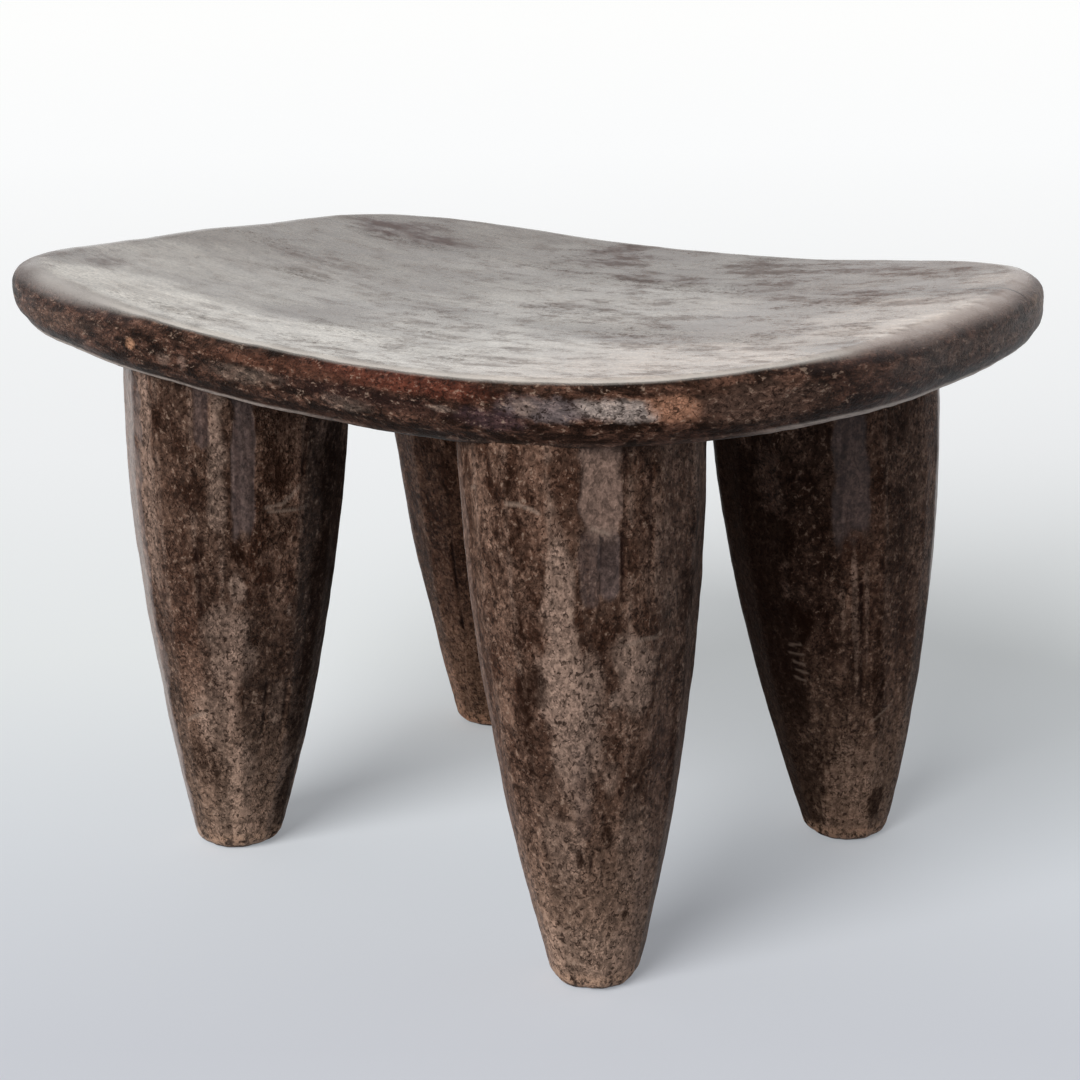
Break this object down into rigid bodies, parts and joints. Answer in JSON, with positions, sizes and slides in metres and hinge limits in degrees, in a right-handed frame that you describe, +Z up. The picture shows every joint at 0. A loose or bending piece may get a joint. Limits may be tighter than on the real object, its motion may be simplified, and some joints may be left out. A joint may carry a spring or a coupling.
{
  "type": "stool",
  "caption": "Low carved wooden stool: a thick rounded seat, dished along its length with a rolled rim, on stout tapered legs hewn in long facets.",
  "frame": {"origin": "on the ground, under the middle of the seat", "axes": "+X along the seat's long side, +Y across the seat, +Z up from the ground"},
  "size_m": [0.4247, 0.293, 0.268],
  "materials": {
    "seat_wood": "waxed and worn smooth on top, dark crusty patina on the rim",
    "leg_wood": "adze-cut facets under a dark crusty patina"
  },
  "bodies": {
    "root": {"seat": "seat_wood", "leg_front_left": "leg_wood", "leg_front_right": "leg_wood", "leg_back_right": "leg_wood", "leg_back_left": "leg_wood"}
  },
  "joints": []
}
